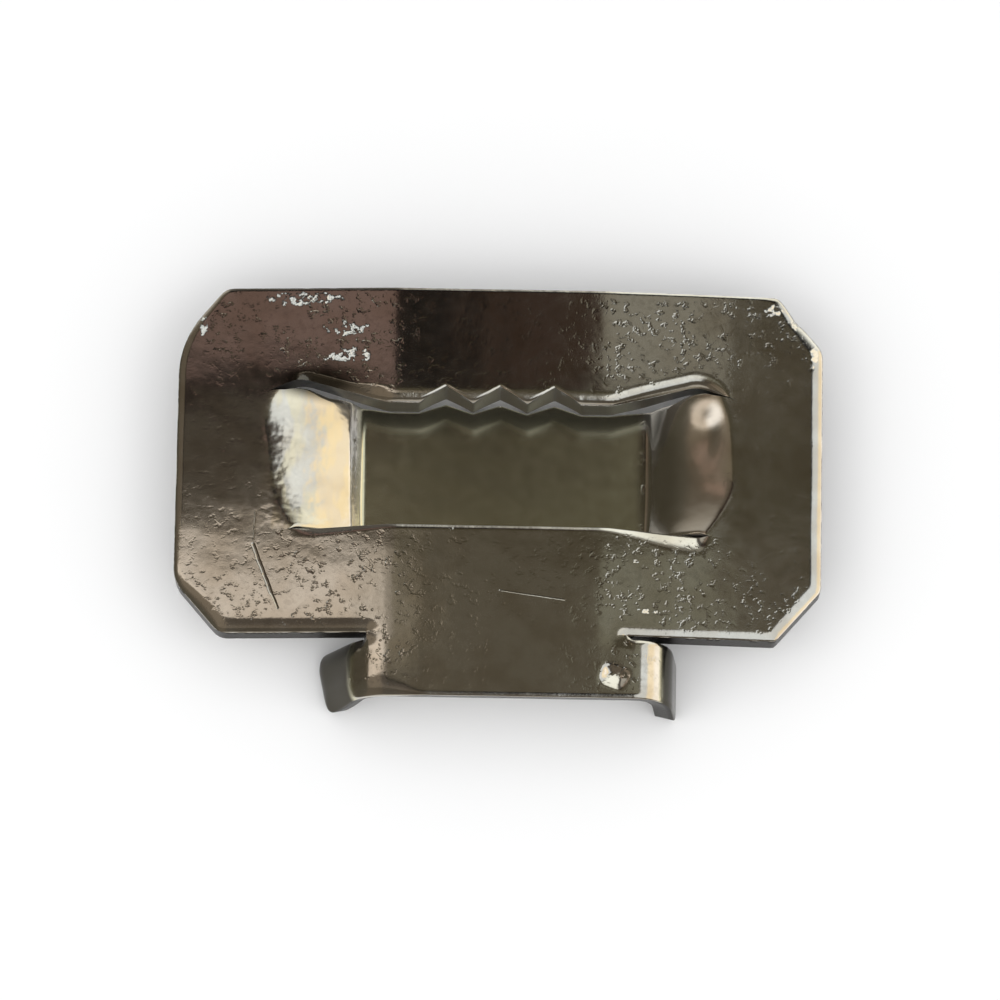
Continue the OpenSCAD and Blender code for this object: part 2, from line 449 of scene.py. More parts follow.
def normals(z_of, x, y):
    e = 1e-3
    gx = (z_of(x + e, y) - z_of(x - e, y)) / (2 * e)
    gy = (z_of(x, y + e) - z_of(x, y - e)) / (2 * e)
    n = np.stack([-gx, -gy, np.ones_like(gx)], -1)
    return n / np.linalg.norm(n, axis=-1, keepdims=True)


def outer_distance(x, y):
    """Distance to the outer edge of the plate, where it is near."""
    pts = np.stack([np.abs(x).ravel(), y.ravel()], 1)
    near = (pts[:, 0] > HALF_W - CLIP_W - 2.6) | (TOP_Y - pts[:, 1] < 1.6) | (pts[:, 1] - LOW_Y < 1.6)
    d = np.full(len(pts), FAR)
    for k, mine in enumerate((x.ravel() < 0, x.ravel() >= 0)):
        low, top = dense(BOT_Q[k], 0.03), dense(TOP_Q[k], 0.03)
        if k:
            top[:, 1] -= NICK_H * np.exp(-((top[:, 0] - NICK_X) / NICK_W) ** 2)
        side = np.stack([np.full(400, HALF_W), np.linspace(low[-1, 1], top[-1, 1], 400)], 1)
        line = np.concatenate([low[low[:, 0] > EAR_SLIT_X], side, top])
        d[near & mine] = distance(pts[near & mine], line)
    return d.reshape(y.shape)


def place(x, y, z_of, drop, back_drop=0.0):
    """Front and back points of the sheet, square to its nominal front face."""
    n = normals(z_of, x, y)
    p = np.stack([x, y, z_of(x, y)], -1)
    front = p - n * (drop - waviness(x, y))[..., None]
    back = p - n * (SHEET + back_drop + 0 * drop)[..., None]
    return front, back


def rows(low, top, shares_up):
    """Grid of points over the columns, between two edges."""
    y = low + (top - low) * shares_up[None, :]
    return np.broadcast_to(COL, y.shape), y


def lower_bar(sheet):
    """Lower bar and the wings beside it."""
    window = over_x(LOWER, COL)
    x, y = rows(quarter_y(BOT_Q, COL), window, LOW_T)
    d_out = outer_distance(x, y)
    d_win = np.where(ACROSS < SLIT_X, window - y, FAR)
    drop = np.maximum(roll(d_out, *rim(x, y)), roll(d_win, *lower_lip(COL)))
    front, back = place(x, y, plate_z, drop)
    return sheet.add(front, back, near_edge(np.minimum(d_out, d_win)), np.zeros_like(y))


def tooth_distance(x, y):
    """Distance to the toothed edge, where it is near."""
    tooth = dense(UPPER[UPPER[:, 0] < CREST_X], 0.04)
    tooth = np.concatenate([tooth, tooth[tooth[:, 0] < 3.0] * np.array([-1.0, 1.0])])
    pts = np.stack([np.abs(x).ravel(), y.ravel()], 1)
    d = np.full(len(pts), FAR)
    near = (pts[:, 1] < CREST_Y + 0.6) & (pts[:, 0] < CREST_X - 0.5)
    d[near] = distance(pts[near], tooth)
    return d.reshape(y.shape)


def tooth_slant():
    """How far the back of the toothed edge reaches below its front, most between the teeth."""
    root = np.where(ACROSS < TEETH_HALF, (over_x(UPPER, COL) - TIP_Y) / TOOTH, 0.0)
    slant = (0.19 + 0.25 * root) * (1.0 - smooth((ACROSS - 9.0) / 4.0))
    fade = np.clip(1.0 - TOP_T * (TOP_Y - TIP_Y) / 1.2, 0.0, 1.0) ** 2
    return slant * fade[None, :]


def upper_bar(sheet):
    """Upper bar with the toothed edge, which is drawn down: creased on the left, round on the right."""
    window = over_x(UPPER, COL)
    x, y = rows(window, top_y(COL), TOP_T)
    d_out = outer_distance(x, y)
    d_lip = np.where(ACROSS < SIDE_X, y - np.where(ACROSS < TEETH_HALF, TIP_Y, window), FAR)
    width, depth = upper_lip(COL)
    creased = smooth((-COL - 7.0) / 2.0)
    draw = round_over(d_lip, width, depth) * (1.0 - creased) + bevel(d_lip, width, depth) * creased
    nip = roll(tooth_distance(x, y), 0.16, 0.05) * (1.0 - smooth((ACROSS - 10.0) / 2.5))
    drop = np.maximum(roll(d_out, *rim(x, y)), draw + nip)
    front, back = place(x, y, plate_z, drop, 0.6 * draw)
    back[..., 1] -= tooth_slant()
    return sheet.add(front, back, near_edge(np.minimum(d_out, d_lip)), np.zeros_like(y))


def lanced_strip(sheet):
    """Strip pushed back out of the window: floor, creases and ramps."""
    low, top = strip_bottom(COL), strip_top(COL)
    x, y = rows(low, top, MID_T)
    d_out = outer_distance(x, y)
    d_cut = np.minimum(np.where(ACROSS < SLIT_X, y - low, FAR), np.where(ACROSS < SIDE_X, top - y, FAR))
    fade = 1.0 - smooth((ACROSS - SLIT_X + 1.0) / 1.0)
    drop = np.maximum(roll(d_out, *rim(x, y)), roll(d_cut, 0.22, 0.10) * fade)
    front, back = place(x, y, strip_z, drop)
    floor_zone = 1.0 - smooth((ACROSS - 9.3) / 0.8) + 0 * y
    ramp_zone = smooth((ACROSS - 9.6) / 0.6) * (1.0 - smooth((ACROSS - 14.8) / 1.8))
    return sheet.add(front, back, near_edge(d_out), floor_zone - ramp_zone)


def build_sheet():
    sheet = Sheet()
    low = lower_bar(sheet)
    up = upper_bar(sheet)
    mid = lanced_strip(sheet)

    # Past the ends of the slits the strip is one with the plate
    mid[PAST_SLIT, 0] = low[PAST_SLIT, -1]
    mid[PAST_SIDE, -1] = up[PAST_SIDE, 0]
    for ids in (low, mid, up):
        sheet.quads(ids)
    build_tongue(sheet, low)
    return sheet


def tongue_lengths():
    """Lengths along the tongue from its middle: the plate's columns, with the ears left and right of them."""
    left, right = (spaced(EAR_SLIT_X, ear.end, 0.18, fine_hi=True)[1:] for ear in (LEFT_EAR, RIGHT_EAR))
    return np.concatenate((-left[::-1], COLS[ON_TONGUE], right))[:, None]


def tongue_front(s, s0, y):
    """Nominal front of the tongue: x, z and the heading down from level; it leaves the plate gradually."""
    x, z, head = (np.where(s0 < 0, m, n) for m, n in zip(LEFT_EAR.point(s), RIGHT_EAR.point(s)))
    own = np.maximum(smooth((LOW_Y - y) / 1.2), smooth((np.abs(s0) - EAR_SLIT_X) / 0.5))
    x = np.sign(s0) * (s * (1.0 - own) + x * own)
    z = wing_z(s) * (1.0 - own) + z * own
    return x, z, head * own


def build_tongue(sheet, low):
    s0 = tongue_lengths()
    a0 = np.abs(s0)
    end = np.where(s0 < 0, LEFT_EAR.end, RIGHT_EAR.end)
    top = LOW_Y - EAR_SLIT * smooth((a0 - EAR_SLIT_X) / 0.5)
    y = TONGUE_Y + (top - TONGUE_Y) * TONGUE_T[None, :]

    # Free corners of the ears are rounded in the flat sheet
    near = np.minimum(y - TONGUE_Y, top - y)
    r = np.where(s0 < 0, *EAR_CORNER_R)
    cut = r - np.sqrt(np.maximum(r * r - np.clip(r - near, 0.0, r) ** 2, 0.0))
    s = a0 - cut * np.clip((a0 - EAR_SLIT_X) / (end - EAR_SLIT_X), 0.0, 1.0)
    x, z, head = tongue_front(s, s0, y)

    # Edges are rolled, most along the lower left
    d = np.minimum(y - TONGUE_Y, np.where(a0 > EAR_SLIT_X, top - y, FAR))
    d = np.minimum(d, np.where(a0 > end - 2.5, end - cut - s, FAR))
    worn = smooth((-4.5 - s0) / 3.5)
    drop = roll(d, 0.32 + 0.95 * worn, 0.12 + 0.38 * worn)

    n = np.stack([np.sign(s0) * np.sin(head), 0 * head, np.cos(head)], -1)
    p = np.stack([x, y, z], -1)
    front = p - n * (drop - waviness(x, y) * np.cos(head) - dents(x, y))[..., None]
    back = p - n * SHEET
    back[..., 1] += 0.35 * (1.0 - smooth((y - TONGUE_Y) / 1.2))

    # The left ear is pressed in a little further at its lower end
    curl = smooth((a0 - 9.6) / (end - 9.6)) * smooth((LOW_Y - 0.8 - y) / 3.4) * (s0 < 0)
    front[..., 0] += 0.5 * curl
    back[..., 0] += 0.5 * curl

    # Zone over 1 marks the ears' outer faces, which the material paints near black as painted shade
    turned = 2.0 * smooth((head - 0.60) / 0.26)
    ids = sheet.add(front, back, near_edge(d), turned)
    ids[a0[:, 0] <= EAR_SLIT_X + SAME, -1] = low[ON_TONGUE, 0]
    sheet.quads(ids)


# Closed mesh; the face value cut is nought on the front, then one of these
BACK_CUT, INNER_CUT, OUTER_CUT = 0.1, 0.5, 1.0
WALL_STEPS = 0.3, 0.62, 0.94
SHARP_ANGLE = math.radians(42)


def close_sheet(sheet):
    """Welds front, back and sheared walls into one closed mesh."""
    front, back = np.array(sheet.front), np.array(sheet.back)
    faces = sheet.faces
    edges = {(a, b) for f in faces for a, b in zip(f, f[1:] + f[:1])}
    open_edges = sorted((a, b) for (a, b) in edges if (b, a) not in edges)
    used = sorted({v for f in faces for v in f})
    new = {v: i for i, v in enumerate(used)}
    n = len(used)
    verts = [front[v] for v in used] + [back[v] for v in used]
    edge = [sheet.edge[v] for v in used] * 2
    zone = [sheet.zone[v] for v in used] + [0.0] * n
    out = [tuple(new[v] for v in f) for f in faces]
    out += [tuple(new[v] + n for v in reversed(f)) for f in faces]
    cut = [0.0] * len(faces) + [BACK_CUT] * len(faces)

    # Points down the walls, from each open front point to its back point
    rings = {}
    for v in sorted({v for e in open_edges for v in e}):
        ids = [new[v]]
        for t in WALL_STEPS:
            ids.append(len(verts))
            verts.append(front[v] + (back[v] - front[v]) * t)
            edge.append(1.0 - t)
            zone.append(0.0)
        rings[v] = ids + [new[v] + n]
    for a, b in open_edges:
        x, y = ((front[a] + front[b]) / 2)[:2]
        inside = abs(x) < SIDE_X + 0.1 and LOWER_Y - 1.0 < y < CREST_Y + 0.5
        for k in range(len(WALL_STEPS) + 1):
            out.append((rings[b][k], rings[a][k], rings[a][k + 1], rings[b][k + 1]))
            cut.append(INNER_CUT if inside else OUTER_CUT)
    return np.array(verts), out, cut, edge, zone


def make_buckle():
    verts, faces, cut, edge, zone = close_sheet(build_sheet())
    mesh = bpy.data.meshes.new("buckle_sheet")
    mesh.from_pydata([tuple(v * MM) for v in verts], [], faces)
    mesh.update()
    obj = bpy.data.objects.new("buckle_sheet", mesh)
    bpy.context.scene.collection.objects.link(obj)
    mesh.polygons.foreach_set("use_smooth", [True] * len(mesh.polygons))
    mesh.attributes.new("cut", "FLOAT", "FACE").data.foreach_set("value", cut)
    for name, values in (("edge", edge), ("zone", zone)):
        mesh.attributes.new(name, "FLOAT", "POINT").data.foreach_set("value", values)
    mesh.set_sharp_from_angle(angle=SHARP_ANGLE)
    return obj


# Material

class Nodes:
    """Short hand for wiring a node tree."""

    def __init__(self, tree):
        self.tree = tree

    def new(self, kind, **values):
        node = self.tree.nodes.new(kind)
        for key, value in values.items():
            setattr(node, key, value)
        return node

    def put(self, socket, value):
        if hasattr(value, "is_linked"):
            self.tree.links.new(value, socket)
        else:
            socket.default_value = value

    def math(self, op, a, b=0.0, c=0.0, clamp=False):
        node = self.new("ShaderNodeMath", operation=op, use_clamp=clamp)
        for socket, value in zip(node.inputs, (a, b, c)):
            self.put(socket, value)
        return node.outputs[0]

    def times(self, *factors):
        out = factors[0]
        for factor in factors[1:]:
            out = self.math("MULTIPLY", out, factor)
        return out

    def total(self, *terms):
        out = terms[0]
        for term in terms[1:]:
            out = self.math("ADD", out, term)
        return out

    def largest(self, *values):
        out = values[0]
        for value in values[1:]:
            out = self.math("MAXIMUM", out, value)
        return out

    def rest(self, share):
        """What is left of one."""
        return self.math("SUBTRACT", 1.0, share)

    def vec(self, op, a, b=None):
        node = self.new("ShaderNodeVectorMath", operation=op)
        self.put(node.inputs[0], a)
        if b is not None:
            self.put(node.inputs[1], b)
        return node.outputs["Value" if op in ("LENGTH", "DOT_PRODUCT") else "Vector"]

    def span(self, value, lo, hi, to_lo=0.0, to_hi=1.0):
        node = self.new("ShaderNodeMapRange", interpolation_type="SMOOTHSTEP")
        for socket, v in zip(node.inputs, (value, lo, hi, to_lo, to_hi)):
            self.put(socket, v)
        return node.outputs[0]

    def noise(self, vector, scale, detail=2.0, rough=0.5):
        node = self.new("ShaderNodeTexNoise")
        self.put(node.inputs["Vector"], vector)
        node.inputs["Scale"].default_value = scale
        node.inputs["Detail"].default_value = detail
        node.inputs["Roughness"].default_value = rough
        return node.outputs[0]

    def scaled(self, vector, factor):
        node = self.new("ShaderNodeVectorMath", operation="SCALE")
        self.put(node.inputs[0], vector)
        self.put(node.inputs[3], factor)
        return node.outputs[0]

    def attribute(self, name):
        return self.new("ShaderNodeAttribute", attribute_name=name).outputs["Fac"]

    def blend(self, factor, a, b):
        node = self.new("ShaderNodeMix", data_type="RGBA")
        self.put(node.inputs[0], factor)
        self.put(node.inputs[6], a)
        self.put(node.inputs[7], b)
        return node.outputs[2]

    def segment(self, p, a, b, width):
        """One along the line from a to b, falling to nought at the width from it."""
        a, b = Vector((*a, 0)), Vector((*b, 0))
        d = b - a
        rel = self.vec("SUBTRACT", p, tuple(a))
        t = self.math("MULTIPLY", self.vec("DOT_PRODUCT", rel, tuple(d)), 1.0 / d.length_squared, clamp=True)
        dist = self.vec("LENGTH", self.vec("SUBTRACT", rel, self.scaled(tuple(d), t)))
        return self.span(dist, 0.0, width, 1.0, 0.0)

    def blob(self, p, centre, radii):
        """One in the middle of an ellipse in plan, falling to nought at its rim."""
        rel = self.vec("SUBTRACT", p, (*centre, 0))
        rel = self.vec("DIVIDE", rel, (*radii, 1))
        return self.span(self.vec("LENGTH", rel), 0.35, 1.0, 1.0, 0.0)

    def scores(self, p, per_mm, half_length, half_width, keep):
        """Short scores in all directions, one to a cell at most; lengths are shares of a cell."""
        cells = self.new("ShaderNodeTexVoronoi", voronoi_dimensions="2D")
        scaled = self.vec("MULTIPLY", p, (per_mm, per_mm, per_mm))
        self.put(cells.inputs["Vector"], scaled)
        cells.inputs["Scale"].default_value = 1.0
        rel = self.new("ShaderNodeSeparateXYZ")
        self.put(rel.inputs[0], self.vec("SUBTRACT", scaled, cells.outputs["Position"]))
        pick = self.new("ShaderNodeSeparateColor")
        self.put(pick.inputs[0], cells.outputs["Color"])
        angle = self.math("MULTIPLY", pick.outputs[0], math.pi)
        c, k = self.math("COSINE", angle), self.math("SINE", angle)
        x, y = rel.outputs[0], rel.outputs[1]
        u = self.math("ADD", self.math("MULTIPLY", x, c), self.math("MULTIPLY", y, k))
        v = self.math("SUBTRACT", self.math("MULTIPLY", y, c), self.math("MULTIPLY", x, k))
        bow = self.math("MULTIPLY", self.math("SUBTRACT", pick.outputs[2], 0.5), 0.5)
        v = self.math("ADD", v, self.math("MULTIPLY", self.math("MULTIPLY", u, u), bow))
        on = self.span(self.math("ABSOLUTE", v), 0.0, half_width, 1.0, 0.0)
        reach = self.span(pick.outputs[1], 0.0, keep, half_length * 0.4, half_length)
        share = self.math("DIVIDE", self.math("ABSOLUTE", u), reach)
        on = self.math("MULTIPLY", on, self.span(share, 0.4, 1.0, 1.0, 0.0))
        on = self.math("MULTIPLY", on, self.span(pick.outputs[2], 0.0, 1.0, 0.3, 1.0))
        return self.math("MULTIPLY", on, self.math("LESS_THAN", pick.outputs[1], keep))


# Scuffed spots in plan: centre and radii, in millimetres
SCUFFS = (
    ((-13.6, 14.1), (4.6, 0.9)),
    ((-10.3, 9.9), (2.7, 1.0)),
    ((-10.4, 11.8), (2.6, 0.9)),
    ((-20.4, 12.2), (0.6, 1.5)),
    ((10.0, -8.5), (1.5, 0.32)),
    ((9.4, -4.9), (0.5, 0.25)),
    ((18.6, 13.9), (1.3, 0.8)),
    ((20.2, 12.9), (0.8, 0.9)),
    ((21.4, 10.9), (0.5, 1.5)),
    ((-3.2, -2.8), (0.3, 0.25)),
)

# Scratches in plan: ends and half width, in millimetres
GOUGE = (
    ((-16.6, -4.0), (-16.1, -5.4), 0.19),
    ((-16.1, -5.4), (-15.3, -7.5), 0.18),
    ((-15.3, -7.5), (-14.85, -8.6), 0.12),
)
FINE_LINES = (
    ((0.2, -7.25), (4.6, -7.85), 0.08),
    ((-16.5, -1.5), (-16.6, -3.6), 0.09),
)

# Spots in plan, centre and radii in millimetres: painted shade at the left crest and at the foot of the right
# flap, a painted highlight near the top of the right flap
CREST_SHADE_SPOT = (-12.6, 8.1), (4.3, 1.5)
FOOT_SHADE_SPOT = (10.9, 2.4), (2.0, 7.0)
FLAP_HIGHLIGHT_SPOT = (14.6, 6.1), (0.8, 1.3)

# Base colours of the steel, some of them painted shade or a painted highlight as noted
BRIGHT = (0.615, 0.59, 0.545, 1)
SMEARED = (0.50, 0.455, 0.39, 1)
BLOTCHED = (0.38, 0.355, 0.32, 1)
STREAKED = (0.70, 0.62, 0.42, 1)
STRIP_FLOOR = (0.60, 0.575, 0.42, 1)
# Painted shade on the ears' outer faces, near black
EAR_SIDE_PAINTED_SHADE = (0.075, 0.069, 0.056, 1)
# Painted shade on the strip floor just under the teeth
SHADE_UNDER_TEETH = (0.26, 0.245, 0.18, 1)
# Painted shade at the left crest, near black
CREST_PAINTED_SHADE = (0.075, 0.068, 0.055, 1)
# Painted shade at the foot of the right flap, brownish
FOOT_PAINTED_SHADE = (0.27, 0.25, 0.195, 1)
# Painted highlight, near white, near the top of the right flap
FLAP_PAINTED_HIGHLIGHT = (0.93, 0.96, 0.98, 1)
SCUFFED = (0.70, 0.71, 0.70, 1)
GOUGED = (0.12, 0.10, 0.08, 1)
# Painted shade on the back faces, which darkens what the metal mirrors under the bars
BACK_PAINTED_SHADE = (0.25, 0.24, 0.22, 1)
SHEARED_INSIDE = (0.36, 0.355, 0.345, 1)
# Outer sheared faces: duller steel, darkened to near black by painted shade
SHEARED_OUTSIDE_AND_SHADE = (0.045, 0.042, 0.038, 1)


def find_places(n):
    """Sockets that say where on the part a point lies, in millimetres, and which faces it is on."""
    k = SimpleNamespace()
    k.solid = n.vec("MULTIPLY", n.new("ShaderNodeTexCoord").outputs["Object"], (1000.0, 1000.0, 1000.0))
    k.plan = n.vec("MULTIPLY", k.solid, (1.0, 1.0, 0.0))
    split = n.new("ShaderNodeSeparateXYZ")
    n.put(split.inputs[0], k.plan)
    k.x, k.y = split.outputs[0], split.outputs[1]
    k.from_middle = n.math("ABSOLUTE", k.x)

    cut, zone = n.attribute("cut"), n.attribute("zone")
    k.edge = n.attribute("edge")
    # Back faces, which get painted shade
    k.behind = n.math("GREATER_THAN", cut, BACK_CUT / 2)
    k.sheared = n.math("GREATER_THAN", cut, INNER_CUT / 2)
    k.outer = n.math("GREATER_THAN", cut, (INNER_CUT + OUTER_CUT) / 2)
    k.floor = n.math("MULTIPLY", zone, 1.0, clamp=True)
    # Ears' outer faces, which get painted shade
    k.turned = n.math("SUBTRACT", zone, 1.0, clamp=True)
    k.ramp = n.math("MAXIMUM", n.times(zone, -1.0), 0.0)
    k.left_ramp = n.times(k.ramp, n.span(k.x, -1.0, 1.0, 1.0, 0.0))
    k.quiet = n.rest(n.times(k.floor, 0.8))
    return k


def add_wear(n, k):
    """Scores and dings gathered in patches away from the middle, scuffed spots and single scratches."""
    wander = n.new("ShaderNodeTexNoise")
    n.put(wander.inputs["Vector"], k.plan)
    wander.inputs["Scale"].default_value = 1.3
    wander.inputs["Detail"].default_value = 1.0
    drift = wander.outputs["Color"]
    k.swell = wander.outputs[0]
    k.ragged = n.noise(k.plan, 1.8, 2.0, 0.65)

    patch = n.span(n.noise(k.plan, 0.45, 2.0, 0.6), 0.40, 0.58)
    from_bar = n.math("ABSOLUTE", n.math("SUBTRACT", k.y, 2.0))
    wing_middle = n.times(n.span(k.from_middle, 13.5, 16.5), n.span(from_bar, 6.0, 10.0, 1.0, 0.3))
    plain_face = n.times(n.rest(k.ramp), n.rest(k.edge))
    k.busy = n.times(n.span(k.from_middle, 4.5, 9.0, 0.3, 1.0), k.quiet, plain_face)
    k.busy = n.times(k.busy, n.rest(n.times(wing_middle, 0.8)))
    bent = n.vec("ADD", k.plan, n.vec("MULTIPLY", drift, (0.12, 0.12, 0.0)))
    k.score = n.times(n.scores(bent, 1.3, 0.42, 0.05, 0.4), patch, k.busy)
    k.dings = n.times(n.span(k.ragged, 0.52, 0.70), patch, k.busy)

    spots = n.largest(*[n.blob(k.plan, *spot) for spot in SCUFFS])
    k.scuff = n.span(n.math("ADD", n.times(spots, 0.36), k.ragged), 0.78, 0.94)

    wobble = n.vec("MULTIPLY", drift, (0.10, 0.06, 0.0))
    drawn = n.vec("ADD", n.vec("SUBTRACT", k.plan, (0.05, 0.03, 0.0)), wobble)
    k.gouge = n.largest(*[n.segment(drawn, *line) for line in GOUGE])
    k.fine = n.largest(*[n.segment(drawn, *line) for line in FINE_LINES])


def relief(n, k):
    """Normal of the worn surface: heights in millimetres, and scuffs that lean to the right as a whole."""
    grain = n.noise(k.solid, 7.0, 1.0, 0.6)
    swell_share = n.total(n.times(k.quiet, 0.005), n.times(k.left_ramp, 0.03))
    ragged_share = n.total(n.times(k.busy, 0.003), n.times(k.edge, 0.007))
    grain_share = n.total(
        0.0007,
        n.times(k.edge, 0.002),
        n.times(k.left_ramp, 0.001),
        n.times(k.scuff, 0.008),
        n.times(k.sheared, 0.012),
    )
    height = n.total(
        n.times(k.swell, swell_share),
        n.times(k.ragged, ragged_share),
        n.times(grain, grain_share),
        n.times(k.score, -0.0055),
        n.times(k.dings, -0.016),
        n.times(k.gouge, -0.06),
        n.times(k.fine, -0.012),
    )
    bump = n.new("ShaderNodeBump")
    bump.inputs["Strength"].default_value = 1.0
    bump.inputs["Distance"].default_value = MM
    n.put(bump.inputs["Height"], height)
    lean = n.scaled((0.33, 0.06, 0.0), k.scuff)
    return n.vec("NORMALIZE", n.vec("ADD", bump.outputs[0], lean))


def base_colour(n, k):
    """Bright steel with faint brown smears and blotches; painted shade on the ears' outer faces, under the
    teeth, at the left crest, at the foot of the right flap and on the back faces; a painted highlight near
    the top of the right flap; sheared faces are duller, the outer ones near black with painted shade.
    """
    smear = n.span(n.noise(k.plan, 0.25, 2.0, 0.6), 0.40, 0.66)
    blotch = n.times(n.span(k.ragged, 0.42, 0.66), k.busy)
    long_plan = n.vec("MULTIPLY", k.plan, (1.0, 0.35, 1.0))
    streak = n.times(n.span(n.noise(long_plan, 0.9, 2.0), 0.45, 0.60), k.left_ramp)
    # Painted shade on the strip floor just under the teeth
    under_teeth_shade = n.times(k.floor, n.span(k.y, 5.0, 6.8))

    steel = n.blend(n.times(smear, 0.7), BRIGHT, SMEARED)
    steel = n.blend(n.times(blotch, 0.35), steel, BLOTCHED)
    steel = n.blend(n.times(streak, 0.45), steel, STREAKED)
    steel = n.blend(n.times(k.floor, 0.9), steel, STRIP_FLOOR)
    # Painted shade: the ears' outer faces go near black
    steel = n.blend(k.turned, steel, EAR_SIDE_PAINTED_SHADE)
    steel = n.blend(n.times(under_teeth_shade, 0.6), steel, SHADE_UNDER_TEETH)
    # Painted shade over the left crest
    steel = n.blend(n.times(n.blob(k.plan, *CREST_SHADE_SPOT), 0.95), steel, CREST_PAINTED_SHADE)
    # Painted shade at the foot of the right flap
    steel = n.blend(n.times(n.blob(k.plan, *FOOT_SHADE_SPOT), 0.6), steel, FOOT_PAINTED_SHADE)
    # Painted highlight near the top of the right flap
    steel = n.blend(n.blob(k.plan, *FLAP_HIGHLIGHT_SPOT), steel, FLAP_PAINTED_HIGHLIGHT)
    steel = n.blend(n.times(k.scuff, 0.6), steel, SCUFFED)
    steel = n.blend(n.times(k.gouge, 0.8), steel, GOUGED)
    # Painted shade on the back faces
    steel = n.blend(k.behind, steel, BACK_PAINTED_SHADE)
    # Sheared faces are duller; the outer ones are near black, partly painted shade
    return n.blend(k.sheared, steel, n.blend(k.outer, SHEARED_INSIDE, SHEARED_OUTSIDE_AND_SHADE))


def roughness(n, k):
    return n.total(
        0.09,
        n.times(k.swell, 0.07),
        n.times(k.score, 0.06),
        n.times(k.ramp, 0.03),
        n.times(k.scuff, 0.10),
        n.times(k.floor, 0.08),
        n.times(k.sheared, 0.22),
    )


def steel_material():
    m = bpy.data.materials.new("scratched_stainless")
    m.use_nodes = True
    m.node_tree.nodes.clear()
    n = Nodes(m.node_tree)
    out = n.new("ShaderNodeOutputMaterial")
    bsdf = n.new("ShaderNodeBsdfPrincipled")
    n.put(out.inputs[0], bsdf.outputs[0])
    bsdf.inputs["Metallic"].default_value = 1.0
    k = find_places(n)
    add_wear(n, k)
    n.put(bsdf.inputs["Normal"], relief(n, k))
    n.put(bsdf.inputs["Base Color"], base_colour(n, k))
    n.put(bsdf.inputs["Roughness"], roughness(n, k))
    return m


buckle = make_buckle()
buckle.data.materials.append(steel_material())
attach(buckle, "root")
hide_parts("buckle")


# Floor
FLOOR_HALF = 3.0
FLOOR_COLOUR = (0.93, 0.93, 0.93, 1.0)


def floor_material():
    m = bpy.data.materials.new("studio_floor")
    m.use_nodes = True
    b = m.node_tree.nodes["Principled BSDF"]
    b.inputs["Base Color"].default_value = FLOOR_COLOUR
    b.inputs["Roughness"].default_value = 0.9
    b.inputs["Specular IOR Level"].default_value = 0.0
    return m


def make_floor():
    h = FLOOR_HALF
    mesh = bpy.data.meshes.new("studio_floor")
    mesh.from_pydata([(-h, -h, 0), (h, -h, 0), (h, h, 0), (-h, h, 0)], [], [(0, 1, 2, 3)])
    obj = bpy.data.objects.new("studio_floor", mesh)
    bpy.context.scene.collection.objects.link(obj)
    obj.data.materials.append(floor_material())
    return obj


floor_obj = make_floor()


# World: the camera and the metal see a dim room; the floor is lit by a soft dome

def room_colour(n, x, y, z):
    """Dim room with a large bright window to the right."""
    above = n.span(z, 0.06, 0.2)

    # Near black above, paler in front, brown and olive walls to the left
    room = n.blend(n.span(y, -0.25, -0.05), (0.10, 0.086, 0.066, 1), (0.010, 0.009, 0.008, 1))
    room = n.blend(n.span(x, -0.28, -0.20, 1.0, 0.0), room, (0.145, 0.118, 0.084, 1))
    room = n.blend(n.span(x, -0.70, -0.62, 1.0, 0.0), room, (0.10, 0.088, 0.062, 1))

    # Bright sill low down in front
    sill = n.times(n.span(y, -0.92, -0.82, 1.0, 0.0), n.span(z, -0.05, 0.05))
    room = n.blend(sill, room, (0.55, 0.52, 0.45, 1))

    # Window to the right: white high up, warm lower down and white again at its foot
    past_edge = n.math("SUBTRACT", x, n.times(n.math("MAXIMUM", y, 0.0), 0.62))
    lit = n.times(n.span(past_edge, 0.02, 0.07), above, n.span(y, -0.50, -0.38))
    window = n.blend(n.span(x, 0.52, 0.60), (1.02, 1.07, 1.08, 1), (1.46, 1.26, 0.92, 1))
    window = n.blend(n.span(x, 0.74, 0.84), window, (1.62, 1.52, 1.36, 1))
    room = n.blend(lit, room, window)

    # Wall behind, bright to its right
    wall = n.blend(n.span(x, -0.05, 0.10), (0.14, 0.13, 0.115, 1), (1.45, 1.48, 1.36, 1))
    wall = n.blend(n.span(x, -0.32, -0.22, 1.0, 0.0), wall, (0.55, 0.52, 0.46, 1))
    return n.blend(n.times(n.span(y, 0.58, 0.74), above), room, wall)


def dome_colour(n, y, z):
    """Soft dome, stronger in front and lower down."""
    dome = n.blend(n.span(y, -0.3, 0.3), (1.98, 1.98, 1.98, 1), (0.76, 0.76, 0.76, 1))
    return n.blend(n.span(z, 0.72, 0.86), dome, (0.45, 0.45, 0.45, 1))


def world():
    w = bpy.data.worlds.new("studio")
    bpy.context.scene.world = w
    w.use_nodes = True
    n = Nodes(w.node_tree)
    bg = w.node_tree.nodes["Background"]
    sep = n.new("ShaderNodeSeparateXYZ")
    n.put(sep.inputs[0], n.new("ShaderNodeTexCoord").outputs["Generated"])
    x, y, z = sep.outputs
    path = n.new("ShaderNodeLightPath").outputs
    seen = n.largest(path["Is Camera Ray"], path["Is Glossy Ray"], path["Is Transmission Ray"])
    n.put(bg.inputs["Color"], n.blend(seen, dome_colour(n, y, z), room_colour(n, x, y, z)))
    bg.inputs["Strength"].default_value = 1.0


